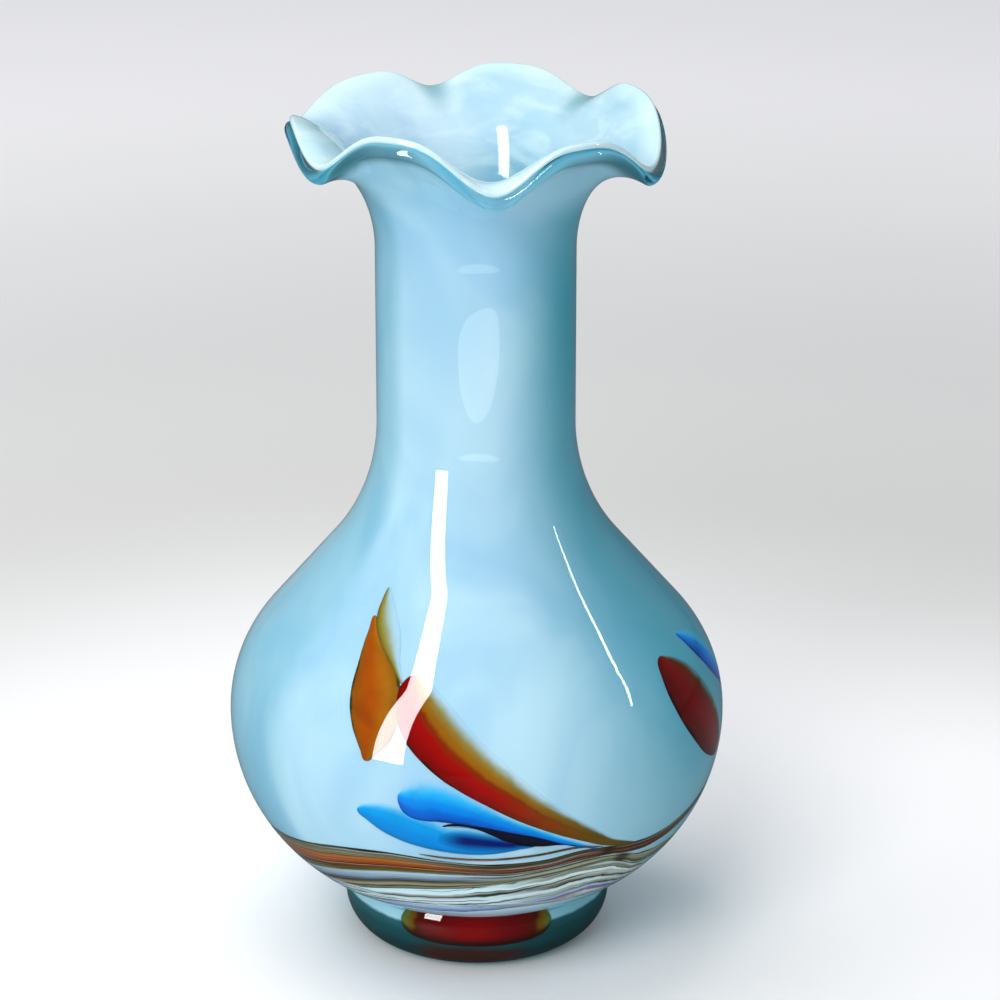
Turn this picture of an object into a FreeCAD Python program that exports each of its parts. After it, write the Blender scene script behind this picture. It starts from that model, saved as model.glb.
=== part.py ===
import FreeCAD, Part
import math
import os
import Sketcher

# Hand-blown cased-glass vase, in millimetres, +Z up, origin at the middle of the foot's base.
# The wall is two layers of glass: a pale blue lining inside a clear casing. Coloured bits of
# glass lie between the two, and a thick clear foot with a red patch in it is fused underneath.
# Azimuths are in degrees: 0 is +X, -90 is -Y, the front.

DRIVING = {
    # outer surface of the body and neck
    "body_radius": 76.0,
    "belly_height": 74.0,
    "lower_arc": 58.0,
    "upper_arc": 46.5,
    "shoulder_angle": 40.5,
    "shoulder_run": 31.0,
    "neck_radius": 30.0,
    "neck_top": 221.5,
    # flared lip before it is ruffled, and how much the casing thickens towards its edge
    "lip_radius": 53.6,
    "lip_height": 255.0,
    "lip_turn": 84.0,
    "lip_swell": 1.6,
    # layers of glass
    "casing_wall": 2.5,
    "lining_wall": 2.0,
    "bit_thickness": 0.9,
    # foot
    "foot_radius": 41.1,
    "foot_edge": 13.8,
    "pontil_radius": 17.0,
    "pontil_depth": 3.0,
    # red patch inside the foot
    "patch_radius": 32.0,
    "patch_height": 9.0,
    "patch_length": 11.0,
    "patch_bow": 1.6,
    "patch_sweep": 68.0,
    # blocks that cut the bits out of their layer
    "cutter_reach": 90.0,
}

# The six uneven lobes of the rim, round the mouth: azimuth, height and radius of each dip and
# of the crest after it, at the edge of the outer surface.
RIM = [
    ((-147.0, 250.5, 54.5), (-116.5, 263.0, 53.5)),
    ((-83.5, 248.0, 50.5), (-57.0, 260.5, 54.5)),
    ((-19.5, 247.0, 54.5), (29.0, 259.5, 53.5)),
    ((47.0, 253.0, 51.0), (80.0, 259.0, 55.5)),
    ((105.5, 253.5, 50.5), (124.0, 258.5, 55.0)),
    ((166.0, 252.5, 54.0), (185.5, 257.5, 54.0)),
]
DIP_SHARPNESS = 1.5
LIP_POLES_ROUND = 96
LIP_ROWS = 7

doc = FreeCAD.newDocument("vase")
sheet = doc.addObject("Spreadsheet::Sheet", "dims")
next_row = 0


def cell(alias, value):
    """Write one plain number into the sheet and give its cell the alias."""
    global next_row
    next_row += 1
    sheet.set("A%d" % next_row, alias)
    sheet.set("B%d" % next_row, "%.6f" % value)
    sheet.setAlias("B%d" % next_row, alias)


for alias, value in DRIVING.items():
    cell(alias, value)
doc.recompute()


def dim(alias):
    return float(sheet.get(alias))


# ---------------------------------------------------------------- sketches and bodies

def arc_between(start, end, radius):
    """Arc of a circle from start to end. A positive radius turns left on the way."""
    (x0, z0), (x1, z1) = start, end
    half = math.hypot(x1 - x0, z1 - z0) / 2.0
    reach = math.sqrt(max(radius * radius - half * half, 0.0))
    side = 1.0 if radius > 0 else -1.0
    normal_x = -(z1 - z0) / (2.0 * half)
    normal_z = (x1 - x0) / (2.0 * half)
    centre_x = (x0 + x1) / 2.0 + side * reach * normal_x
    centre_z = (z0 + z1) / 2.0 + side * reach * normal_z
    first = math.atan2(z0 - centre_z, x0 - centre_x)
    last = math.atan2(z1 - centre_z, x1 - centre_x)
    if radius < 0:
        first, last = last, first
    if last < first:
        last += 2.0 * math.pi
    centre = FreeCAD.Vector(centre_x, centre_z, 0)
    circle = Part.Circle(centre, FreeCAD.Vector(0, 0, 1), abs(radius))
    return Part.ArcOfCircle(circle, first, last)


def bind(sketch, index, alias):
    sketch.setExpression("Constraints[%d]" % index, "dims." + alias)


def pin_corner(sketch, name, number, side, vertex, corner):
    """Hold a corner at its place: on an axis where it lies on one, else by bound distances."""
    for kind, axis, tag, value in (
        ("DistanceX", -2, "x", corner[0]),
        ("DistanceY", -1, "z", corner[1]),
    ):
        if abs(value) < 1e-9:
            sketch.addConstraint(Sketcher.Constraint("PointOnObject", side, vertex, axis))
            continue
        alias = "%s_%s%d" % (name, tag, number)
        cell(alias, value)
        index = sketch.addConstraint(
            Sketcher.Constraint(kind, -1, 1, side, vertex, value)
        )
        bind(sketch, index, alias)


def draw_outline(sketch, name, corners, radii):
    """Closed outline of straight sides (radius 0) and arcs, every corner and radius bound."""
    count = len(corners)
    starts = []
    for i in range(count):
        start, end = corners[i], corners[(i + 1) % count]
        if radii[i]:
            sketch.addGeometry(arc_between(start, end, radii[i]), False)
        else:
            line = Part.LineSegment(
                FreeCAD.Vector(start[0], start[1], 0), FreeCAD.Vector(end[0], end[1], 0)
            )
            sketch.addGeometry(line, False)
        starts.append(1 if radii[i] >= 0 else 2)
    for i in range(count):
        following = (i + 1) % count
        sketch.addConstraint(
            Sketcher.Constraint(
                "Coincident", i, 3 - starts[i], following, starts[following]
            )
        )
        pin_corner(sketch, name, i, i, starts[i], corners[i])
    for i in range(count):
        if radii[i]:
            alias = "%s_arc%d" % (name, i)
            cell(alias, abs(radii[i]))
            index = sketch.addConstraint(Sketcher.Constraint("Radius", i, abs(radii[i])))
            bind(sketch, index, alias)


def xz_sketch(body, name, corners, radii, set_back=0.0):
    """Sketch on the body's own XZ plane, set_back mm behind it."""
    sketch = body.newObject("Sketcher::SketchObject", name + "_outline")
    plane = [o for o in body.Origin.OriginFeatures if o.Role == "XZ_Plane"][0]
    sketch.AttachmentSupport = (plane, [""])
    sketch.MapMode = "FlatFace"
    sketch.AttachmentOffset.Base = FreeCAD.Vector(0, 0, -set_back)
    draw_outline(sketch, name, corners, radii)
    doc.recompute()
    return sketch


def revolved_body(name, corners, radii, sweep_alias=None):
    """Body turned about the vase's axis, all the way round or through a sheet angle."""
    body = doc.addObject("PartDesign::Body", name)
    sketch = xz_sketch(body, name, corners, radii)
    turn = body.newObject("PartDesign::Revolution", name + "_turn")
    turn.Profile = sketch
    turn.ReferenceAxis = (sketch, ["V_Axis"])
    turn.Angle = 360.0
    if sweep_alias:
        turn.setExpression("Angle", "dims." + sweep_alias)
    doc.recompute()
    return body


# ---------------------------------------------------------------- the wall's curve

def wall_corners(depth):
    """Corners and arc radii of the curve depth mm inside the outer surface, from the axis at
    the base up to the top of the straight neck."""
    lean = math.radians(dim("shoulder_angle"))
    low_x = dim("body_radius") - dim("lower_arc")
    low_r = dim("lower_arc") - depth
    high_x = dim("body_radius") - dim("upper_arc")
    high_r = dim("upper_arc") - depth
    belly = dim("belly_height")
    shoulder = (high_x + high_r * math.cos(lean), belly + high_r * math.sin(lean))
    run = dim("shoulder_run")
    root = (shoulder[0] - run * math.sin(lean), shoulder[1] + run * math.cos(lean))
    outer_root = root[0] + depth * math.cos(lean)
    neck_arc = (outer_root - dim("neck_radius")) / (1.0 - math.cos(lean))
    neck_start = root[1] + (neck_arc + depth) * math.sin(lean)
    neck_x = dim("neck_radius") - depth
    corners = [
        (0.0, belly - low_r),
        (low_x, belly - low_r),
        (low_x + low_r, belly),
        shoulder,
        root,
        (neck_x, neck_start),
        (neck_x, dim("neck_top")),
    ]
    radii = [0, low_r, high_r, 0, -(neck_arc + depth), 0]
    return corners, radii


def shell_outline(outer_depth, inner_depth):
    """Outline of the half section between two wall curves."""
    outer, outer_radii = wall_corners(outer_depth)
    inner, inner_radii = wall_corners(inner_depth)
    corners = outer + inner[::-1]
    radii = outer_radii + [0] + [-r for r in inner_radii[::-1]] + [0]
    return corners, radii


# ---------------------------------------------------------------- the ruffled lip

def rim(azimuth):
    """Height and radius of the rim: it swings over round crests and through tighter dips."""
    turns = [point for lobe in RIM for point in lobe]
    turns.append((turns[0][0] + 360.0, turns[0][1], turns[0][2]))
    azimuth = turns[0][0] + (azimuth - turns[0][0]) % 360.0
    number = 0
    while azimuth > turns[number + 1][0]:
        number += 1
    low, high = turns[number], turns[number + 1]
    share = (azimuth - low[0]) / (high[0] - low[0])
    falls_to_a_dip = number % 2 == 1
    if falls_to_a_dip:
        low, high, share = high, low, 1.0 - share
    rise = 1.0 - ((1.0 + math.cos(math.pi * share)) / 2.0) ** DIP_SHARPNESS
    return low[1] + (high[1] - low[1]) * rise, low[2] + (high[2] - low[2]) * rise


def lip_point(azimuth, turn, depth):
    """Point of the lip: turn runs from 0 at the neck to 1 at the edge."""
    angle = math.radians(dim("lip_turn")) * turn
    full = math.radians(dim("lip_turn"))
    reach = (dim("lip_radius") - dim("neck_radius")) / (1.0 - math.cos(full))
    rise = (dim("lip_height") - dim("neck_top")) / math.sin(full)
    radius = dim("neck_radius") + reach * (1.0 - math.cos(angle))
    height = dim("neck_top") + rise * math.sin(angle)
    slope_r = reach * math.sin(angle)
    slope_z = rise * math.cos(angle)
    length = math.hypot(slope_r, slope_z)
    radius -= depth * slope_z / length
    height += depth * slope_r / length
    rim_height, rim_radius = rim(azimuth)
    height += (rim_height - dim("lip_height")) * turn ** 3
    radius += (rim_radius - dim("lip_radius")) * turn ** 3
    around = math.radians(azimuth)
    return FreeCAD.Vector(radius * math.cos(around), radius * math.sin(around), height)


def lip_layer(outer_depth, inner_depth, swell):
    """Solid of one layer of the lip: up its outer skin, round the edge and down its inner.
    swell is how much thicker the layer is at its edge, on its outer side."""
    last = LIP_ROWS - 1
    stations = []
    for row in range(LIP_ROWS):
        turn = row / last
        stations.append((turn, outer_depth - swell * turn ** 2))
    thickness = inner_depth - outer_depth + swell
    nose = 1.0 + 0.35 * thickness / (dim("lip_radius") - dim("neck_radius"))
    stations.append((nose, inner_depth - 0.75 * thickness))
    stations.append((nose, inner_depth - 0.25 * thickness))
    stations += [(row / last, inner_depth) for row in range(last, -1, -1)]
    # a pole ring of a smooth closed curve lies a little outside the circle it makes
    step = 2.0 * math.pi / LIP_POLES_ROUND
    spread = 3.0 / (2.0 + math.cos(step))
    poles = []
    for i in range(LIP_POLES_ROUND):
        ring = []
        for turn, depth in stations:
            point = lip_point(math.degrees(i * step), turn, depth)
            ring.append(FreeCAD.Vector(point.x * spread, point.y * spread, point.z))
        poles.append(ring)
    spans = len(stations) - 3
    surface = Part.BSplineSurface()
    surface.buildFromPolesMultsKnots(
        poles,
        [1] * (LIP_POLES_ROUND + 1),
        [4] + [1] * (spans - 1) + [4],
        list(range(LIP_POLES_ROUND + 1)),
        list(range(spans + 1)),
        True,
        False,
        3,
        3,
    )
    skin = surface.toShape()
    rings = []
    for edge in skin.Edges:
        if edge.isClosed() and abs(edge.BoundBox.ZLength) < 1e-6:
            rings.append(Part.Wire([edge]))
    rings.sort(key=lambda ring: -ring.BoundBox.XLength)
    cap = Part.makeFace(rings, "Part::FaceMakerBullseye")
    shell = Part.Shell([skin, cap])
    shell.sewShape()
    solid = Part.Solid(Part.Shell(shell.Faces))
    if solid.Volume < 0:
        solid.reverse()
    return solid


def lip_feature(name, outer_depth, inner_depth, swell):
    feature = doc.addObject("Part::Feature", name)
    feature.Shape = lip_layer(outer_depth, inner_depth, swell)
    return feature


# ---------------------------------------------------------------- the coloured bits

# Each bit: azimuth it faces, then its outline seen from outside, corner by corner and
# anticlockwise, as (across, height, bow): bow is how far the side after it bulges outwards.
BITS = {
    "red_amber_trail": (-80, [(-27, 105, 4.6), (-31, 87, 2.3), (37, 51.3, -2.8)]),
    "amber_leaf": (-118, [(-6.5, 122.5, 6.6), (5, 81, 1.5), (13, 89, 2.3)]),
    "olive_leaf_tip": (-118, [(-3.6, 125, 3), (10, 103.5, -0.4)]),
    "dark_streak": (-85, [(-13, 67.3, 1.3), (12.5, 59.2, 0.9)]),
    "blue_leaf_upper": (-84, [(-21, 79.3, 5.5), (-23, 66, -1.5), (29.5, 53.5, 1.5)]),
    "blue_leaf_lower": (-97, [(-21.5, 70.6, 3), (-20, 62.5, 3.8), (27, 59, 1.5)]),
    "red_oval": (-22, [(-9, 101.5, 2.2), (-14.9, 91, 5.5), (11, 67, 2.8), (16.5, 80, 4.8)]),
    "blue_oval": (-10, [(-7.5, 103.5, 2.5), (9, 81, 4.5)]),
    "back_red_trail": (95, [(-24, 99, 4.5), (-27, 83, 2), (34, 55, -2.5)]),
    "back_amber_leaf": (146, [(-5, 112, 5.5), (4, 78, 1.5), (10, 85, 2.5)]),
    "back_blue_leaf": (48, [(-18, 84, 4.5), (-19, 72, 2.5), (24, 62, 1.2)]),
}

# Each trail goes right round: height on the axis, half its width, rise per mm to +X and how
# many degrees it leans, high at the front.
TRAILS = {
    "brown_trail_upper": (44.6, 2.1, 0.01, 5.7),
    "brown_trail_lower": (38.2, 1.1, 0.14, 5.0),
    "pale_trail": (33.6, 1.7, 0.05, 4.0),
}


def bow_radius(corner, following, bow):
    """Radius of the arc from one corner to the next that bulges out by bow."""
    chord = math.hypot(following[0] - corner[0], following[1] - corner[1])
    size = (chord * chord / 4.0 + bow * bow) / (2.0 * abs(bow))
    return math.copysign(size, bow)


def cutter(name, corners, radii, set_back, length, placement):
    """Block with the given outline, padded towards its own -Y and then placed."""
    body = doc.addObject("PartDesign::Body", name + "_cutter")
    sketch = xz_sketch(body, name, corners, radii, set_back)
    pad = body.newObject("PartDesign::Pad", name + "_pad")
    pad.Profile = sketch
    pad.Length = length
    doc.recompute()
    body.Placement = placement
    return body


def bit_cutter(name):
    """Block that faces the bit's azimuth, from the axis outwards."""
    azimuth, outline = BITS[name]
    count = len(outline)
    corners = [(across, height) for across, height, _ in outline]
    radii = [
        bow_radius(corners[i], corners[(i + 1) % count], outline[i][2]) for i in range(count)
    ]
    turned = FreeCAD.Rotation(FreeCAD.Vector(0, 0, 1), azimuth + 90.0)
    placement = FreeCAD.Placement(FreeCAD.Vector(), turned)
    return cutter(name, corners, radii, 0.0, dim("cutter_reach"), placement)


def trail_cutter(name):
    """Flat slab right across the vase, leaning back."""
    height, half_width, rise, lean = TRAILS[name]
    reach = dim("cutter_reach")
    low = height - half_width
    high = height + half_width
    corners = [
        (-reach, low - rise * reach),
        (reach, low + rise * reach),
        (reach, high + rise * reach),
        (-reach, high - rise * reach),
    ]
    leaning = FreeCAD.Rotation(FreeCAD.Vector(1, 0, 0), -lean)
    placement = FreeCAD.Placement(FreeCAD.Vector(), leaning)
    return cutter(name, corners, [0, 0, 0, 0], reach, 2.0 * reach, placement)


def common(name, base, tool):
    both = doc.addObject("Part::Common", name)
    both.Base = base
    both.Tool = tool
    doc.recompute()
    return both


def cut(name, base, tool):
    rest = doc.addObject("Part::Cut", name)
    rest.Base = base
    rest.Tool = tool
    doc.recompute()
    return rest


def join(name, shapes):
    fused = doc.addObject("Part::MultiFuse", name)
    fused.Shapes = shapes
    doc.recompute()
    return fused


def share_any(shape, others):
    return [o for o in others if shape.common(o.Shape).Volume > 0.01]


def make_bits():
    """Cut every bit and trail out of the colour layer. Where two meet, the earlier one lies
    on top and the later one stops at its edge."""
    casing_wall = dim("casing_wall")
    layer = revolved_body("colour_layer", *shell_outline(
        casing_wall - dim("bit_thickness"), casing_wall
    ))
    placed = []
    for name in list(BITS) + list(TRAILS):
        block = bit_cutter(name) if name in BITS else trail_cutter(name)
        piece = common(name, block, layer)
        for i, other in enumerate(share_any(piece.Shape, placed)):
            piece.Label = "%s_uncut_%d" % (name, i)
            piece = cut("%s_%d" % (name, i), piece, other)
        piece.Label = name
        placed.append(piece)
    return placed


# ---------------------------------------------------------------- lining, casing and foot

def layered_wall(name, outer_depth, inner_depth, swell=0.0):
    """One layer of the wall: the turned body and neck with the ruffled lip fused on top."""
    lower = revolved_body(name + "_body", *shell_outline(outer_depth, inner_depth))
    lip = lip_feature(name + "_lip", outer_depth, inner_depth, swell)
    return join(name + "_whole", [lower, lip])


def foot_corners():
    """Half outline of the foot: under the casing, out round its edge and under the base."""
    belly = dim("belly_height")
    lower_arc = dim("lower_arc")
    seat_x = dim("body_radius") - lower_arc
    seat_z = belly - lower_arc
    edge = dim("foot_edge")
    edge_x = dim("foot_radius") - edge
    # where the edge's circle meets the casing's outer curve
    gap_x = edge_x - seat_x
    gap_z = edge - belly
    gap = math.hypot(gap_x, gap_z)
    along = (gap * gap + lower_arc ** 2 - edge ** 2) / (2.0 * gap)
    off = math.sqrt(lower_arc ** 2 - along ** 2)
    crease = (
        seat_x + (along * gap_x - off * gap_z) / gap,
        belly + (along * gap_z + off * gap_x) / gap,
    )
    pontil_x = dim("pontil_radius")
    pontil_z = dim("pontil_depth")
    dome = (pontil_x ** 2 + pontil_z ** 2) / (2.0 * pontil_z)
    corners = [
        (0.0, pontil_z),
        (pontil_x, 0.0),
        (edge_x, 0.0),
        (edge_x + edge, edge),
        crease,
        (seat_x, seat_z),
        (0.0, seat_z),
    ]
    radii = [-dome, 0, edge, edge, -lower_arc, 0, 0]
    return corners, radii


def make_foot():
    """The clear foot with a pocket for the red patch, and the patch itself."""
    radius = dim("patch_radius")
    low = dim("patch_height") - dim("patch_length") / 2.0
    high = dim("patch_height") + dim("patch_length") / 2.0
    bow = bow_radius((radius, low), (radius, high), dim("patch_bow"))
    patch = revolved_body(
        "foot_red_patch", [(radius, low), (radius, high)], [bow, bow], "patch_sweep"
    )
    start = -90.0 - dim("patch_sweep") / 2.0
    patch.Placement = FreeCAD.Placement(
        FreeCAD.Vector(), FreeCAD.Rotation(FreeCAD.Vector(0, 0, 1), start)
    )
    blank = revolved_body("foot_blank", *foot_corners())
    foot = cut("foot_cut", blank, patch)
    foot.Label = "foot"
    return foot, patch


bits = make_bits()
lining = layered_wall(
    "lining", dim("casing_wall"), dim("casing_wall") + dim("lining_wall")
)
lining.Label = "inner_lining"
casing_blank = layered_wall("casing", 0.0, dim("casing_wall"), dim("lip_swell"))
casing = cut("casing_cut", casing_blank, join("bit_pockets", bits))
casing.Label = "clear_casing"
foot, foot_patch = make_foot()
doc.recompute()

sub_parts = [lining, casing, foot, foot_patch] + bits

for item in doc.Objects:
    if "Invalid" in item.State or "Error" in item.State:
        raise RuntimeError("%s failed: %s" % (item.Label, item.State))
for item in sub_parts:
    if item.Shape.isNull() or not item.Shape.isValid() or not item.Shape.Solids:
        raise RuntimeError("%s has no valid solid" % item.Label)

os.makedirs("parts", exist_ok=True)
for item in sub_parts:
    item.Shape.exportStep("parts/%s.step" % item.Label)
    box = item.Shape.BoundBox
    print("%-20s solids %d  volume %9.1f  z %.1f to %.1f" % (
        item.Label, len(item.Shape.Solids), item.Shape.Volume, box.ZMin, box.ZMax
    ))
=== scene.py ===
"""Looks of the hand-blown cased-glass vase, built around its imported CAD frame.

Lengths are millimetres until a mesh is made; azimuths are degrees, with -90 at the front.
"""

import math

import bpy
import numpy as np
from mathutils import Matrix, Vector


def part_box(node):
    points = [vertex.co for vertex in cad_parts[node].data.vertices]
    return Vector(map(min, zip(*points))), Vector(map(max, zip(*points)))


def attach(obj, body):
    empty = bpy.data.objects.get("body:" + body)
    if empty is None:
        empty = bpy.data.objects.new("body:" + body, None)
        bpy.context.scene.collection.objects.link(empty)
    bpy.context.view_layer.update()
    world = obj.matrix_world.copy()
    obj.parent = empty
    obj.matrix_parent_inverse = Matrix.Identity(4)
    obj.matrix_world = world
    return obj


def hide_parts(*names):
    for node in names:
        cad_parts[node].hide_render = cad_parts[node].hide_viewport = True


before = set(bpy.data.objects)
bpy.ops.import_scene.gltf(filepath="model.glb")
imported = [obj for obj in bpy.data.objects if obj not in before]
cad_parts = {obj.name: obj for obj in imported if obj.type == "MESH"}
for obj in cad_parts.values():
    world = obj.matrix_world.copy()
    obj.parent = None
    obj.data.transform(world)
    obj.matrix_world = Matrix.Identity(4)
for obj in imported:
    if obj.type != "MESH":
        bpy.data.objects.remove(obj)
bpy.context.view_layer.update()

MM = 0.001


def node_box(node):
    """Lowest and highest corner of a CAD node in millimetres."""
    low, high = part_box(node)
    return np.array(low) / MM, np.array(high) / MM


casing_low, casing_high = node_box("clear_casing")
lining_low = node_box("inner_lining")[0]
foot_low, foot_high = node_box("foot")

# ------------------------------------------------------------------ driving dimensions
BODY_RADIUS = (casing_high[0] - casing_low[0]) / 2
BASE_HEIGHT = casing_low[2]
CASING_WALL = lining_low[2] - casing_low[2]
LINING_WALL = 2.0
LOWER_ARC = 58.0
BELLY_HEIGHT = BASE_HEIGHT + LOWER_ARC
UPPER_ARC = 46.5
SHOULDER_ANGLE = math.radians(40.5)
SHOULDER_RUN = 31.0
NECK_RADIUS = 30.0
NECK_TOP = 221.5
LIP_RADIUS = 53.6
LIP_HEIGHT = 255.0
LIP_TURN = math.radians(84.0)
LIP_SWELL = 1.6
# The rim's six lobes: azimuth, height and radius of each dip and of the crest after it.
RIM = [
    ((-147.0, 250.5, 54.5), (-116.5, 263.0, 53.5)),
    ((-83.5, 248.0, 50.5), (-57.0, 260.5, 54.5)),
    ((-19.5, 247.0, 54.5), (29.0, 259.5, 53.5)),
    ((47.0, 253.0, 51.0), (80.0, 259.0, 55.5)),
    ((105.5, 253.5, 50.5), (124.0, 258.5, 55.0)),
    ((166.0, 252.5, 54.0), (185.5, 257.5, 54.0)),
]
DIP_SHARPNESS = 1.5
# Its two narrow lobes at the back, below whose dips painted shade darkens the lining's inner
# skin.
LOBES_WITH_SHADED_DIPS = RIM[3:5]
FOOT_RADIUS = (foot_high[0] - foot_low[0]) / 2
FOOT_EDGE = 13.8
PONTIL_RADIUS = 17.0
PONTIL_DEPTH = 3.0
BIT_THICKNESS = 0.9
BAND_THICKNESS = 0.7
# How far apart ribbons that cross are held, how far a ribbon's edges stand off the lining, and
# how far its underside sinks into it.
LIFT_STEP = 0.3
RIBBON_PROUD = 0.03
RIBBON_SINK = 0.3
# Clear glass reaches this far into what it covers, so that no air gap shows between them.
CASING_OVERLAP = 0.25
FOOT_OVERLAP = 0.15
# Points round each ring of a turned skin, and the radius of the ring next to its axis.
COLUMNS = 360
POLE_RING = 0.6


# ------------------------------------------------------------------ the outer surface

LOWER_CENTRE = BODY_RADIUS - LOWER_ARC
UPPER_CENTRE = BODY_RADIUS - UPPER_ARC
SHOULDER_START = UPPER_ARC * SHOULDER_ANGLE
SHOULDER_END = SHOULDER_START + SHOULDER_RUN
LEAN_COS = math.cos(SHOULDER_ANGLE)
LEAN_SIN = math.sin(SHOULDER_ANGLE)
SHOULDER_TOP = (
    UPPER_CENTRE + UPPER_ARC * LEAN_COS - SHOULDER_RUN * LEAN_SIN,
    BELLY_HEIGHT + UPPER_ARC * LEAN_SIN + SHOULDER_RUN * LEAN_COS,
)
NECK_ARC = (SHOULDER_TOP[0] - NECK_RADIUS) / (1 - LEAN_COS)
NECK_START = SHOULDER_TOP[1] + NECK_ARC * LEAN_SIN
NECK_ARC_END = SHOULDER_END + NECK_ARC * SHOULDER_ANGLE
NECK_END = NECK_ARC_END + NECK_TOP - NECK_START
BASE_END = -LOWER_ARC * math.pi / 2
LIP_REACH = (LIP_RADIUS - NECK_RADIUS) / (1 - math.cos(LIP_TURN))
LIP_RISE = (LIP_HEIGHT - NECK_TOP) / math.sin(LIP_TURN)


def meridian(s):
    """Radius, height and outward normal of the outer surface, s mm along it from the widest
    circle: positive upwards to the top of the straight neck, negative down to the base."""
    if s < BASE_END:
        return LOWER_CENTRE + (s - BASE_END), BASE_HEIGHT, 0.0, -1.0
    if s < 0:
        a = s / LOWER_ARC
        c, n = math.cos(a), math.sin(a)
        return LOWER_CENTRE + LOWER_ARC * c, BELLY_HEIGHT + LOWER_ARC * n, c, n
    if s < SHOULDER_START:
        a = s / UPPER_ARC
        c, n = math.cos(a), math.sin(a)
        return UPPER_CENTRE + UPPER_ARC * c, BELLY_HEIGHT + UPPER_ARC * n, c, n
    if s < SHOULDER_END:
        run = s - SHOULDER_END
        return (
            SHOULDER_TOP[0] - run * LEAN_SIN,
            SHOULDER_TOP[1] + run * LEAN_COS,
            LEAN_COS,
            LEAN_SIN,
        )
    if s < NECK_ARC_END:
        a = SHOULDER_ANGLE - (s - SHOULDER_END) / NECK_ARC
        c, n = math.cos(a), math.sin(a)
        return NECK_RADIUS + NECK_ARC * (1 - c), NECK_START - NECK_ARC * n, c, n
    return NECK_RADIUS, NECK_START + s - NECK_ARC_END, 1.0, 0.0


def lip_section(turn):
    """Radius, height and outward normal of the unruffled lip, turn 0 to 1."""
    a = LIP_TURN * turn
    slope_r, slope_z = LIP_REACH * math.sin(a), LIP_RISE * math.cos(a)
    length = math.hypot(slope_r, slope_z)
    return (
        NECK_RADIUS + LIP_REACH * (1 - math.cos(a)),
        NECK_TOP + LIP_RISE * math.sin(a),
        slope_z / length,
        -slope_r / length,
    )


def rim(azimuth):
    """Height and radius of the rim: it swings over round crests and through tighter dips."""
    turns = [point for lobe in RIM for point in lobe]
    turns.append((turns[0][0] + 360.0, turns[0][1], turns[0][2]))
    azimuth = turns[0][0] + (azimuth - turns[0][0]) % 360.0
    number = 0
    while azimuth > turns[number + 1][0]:
        number += 1
    low, high = turns[number], turns[number + 1]
    share = (azimuth - low[0]) / (high[0] - low[0])
    falls_to_a_dip = number % 2 == 1
    if falls_to_a_dip:
        low, high, share = high, low, 1.0 - share
    rise = 1.0 - ((1.0 + math.cos(math.pi * share)) / 2.0) ** DIP_SHARPNESS
    return low[1] + (high[1] - low[1]) * rise, low[2] + (high[2] - low[2]) * rise


AZIMUTHS = np.arange(COLUMNS) * 360 / COLUMNS
RIM_SHIFTS = np.array([rim(azimuth) for azimuth in AZIMUTHS]) - (LIP_HEIGHT, LIP_RADIUS)


def ring(radius, height, turn=0.0):
    """Ring of points round the axis, ruffled as far as turn says."""
    r = radius + RIM_SHIFTS[:, 1] * turn ** 3
    z = height + RIM_SHIFTS[:, 0] * turn ** 3
    around = np.radians(AZIMUTHS)
    return np.stack([r * np.cos(around), r * np.sin(around), z], 1)


def surface_point(azimuth, s, depth):
    r, z, nr, nz = meridian(s)
    r, z = r - depth * nr, z - depth * nz
    a = math.radians(azimuth)
    return r * math.cos(a), r * math.sin(a), z


# ------------------------------------------------------------------ mesh building

def new_mesh(name, points, faces, attributes=None):
    mesh = bpy.data.meshes.new(name)
    mesh.from_pydata((np.asarray(points) * MM).tolist(), [], faces)
    mesh.validate()
    for key, values in (attributes or {}).items():
        layer = mesh.attributes.new(key, "FLOAT", "POINT")
        layer.data.foreach_set("value", np.asarray(values, np.float32))
    mesh.polygons.foreach_set("use_smooth", [True] * len(mesh.polygons))
    mesh.update()
    piece = bpy.data.objects.new(name, mesh)
    bpy.context.scene.collection.objects.link(piece)
    return piece


def tube_faces(count, size):
    """Faces of a tube of count rings of size points each, closed at both ends."""
    faces = [tuple(range(size))]
    for i in range(count - 1):
        for j in range(size):
            k = (j + 1) % size
            faces.append((i * size + j, (i + 1) * size + j, (i + 1) * size + k, i * size + k))
    faces.append(tuple(range((count - 1) * size, count * size))[::-1])
    return faces


def lathe(name, rings, start_pole, end_pole, turns):
    """Closed skin through rings of points, with a single point at each end on the axis. turns
    holds each ring's turn attribute."""
    points = [start_pole] + [p for r in rings for p in r] + [end_pole]
    last = len(points) - 1
    faces = []
    for c in range(COLUMNS):
        following = (c + 1) % COLUMNS
        faces.append((0, 1 + following, 1 + c))
        for i in range(len(rings) - 1):
            low, high = 1 + i * COLUMNS, 1 + (i + 1) * COLUMNS
            faces.append((low + c, low + following, high + following, high + c))
        low = 1 + (len(rings) - 1) * COLUMNS
        faces.append((low + c, low + following, last))
    flat_turns = [turns[0]] + [t for t in turns for _ in range(COLUMNS)] + [turns[-1]]
    return new_mesh(name, points, faces, {"turn": flat_turns})


def wall_stations():
    """Places along the wall from the base to the lip's edge: (kind, parameter)."""
    steps = [("s", s) for s in np.linspace(BASE_END - LOWER_CENTRE + 1.5, BASE_END, 8)]
    steps += [("s", s) for s in np.linspace(BASE_END, NECK_END, 190)[1:]]
    steps += [("lip", t) for t in np.linspace(0, 1, 70)[1:]]
    return steps


def wall_ring(station, depth, swell=0.0):
    kind, at = station
    r, z, nr, nz = meridian(at) if kind == "s" else lip_section(at)
    turn = at if kind == "lip" else 0.0
    depth = depth - swell * turn ** 2
    return ring(r - depth * nr, z - depth * nz, turn), turn


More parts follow.
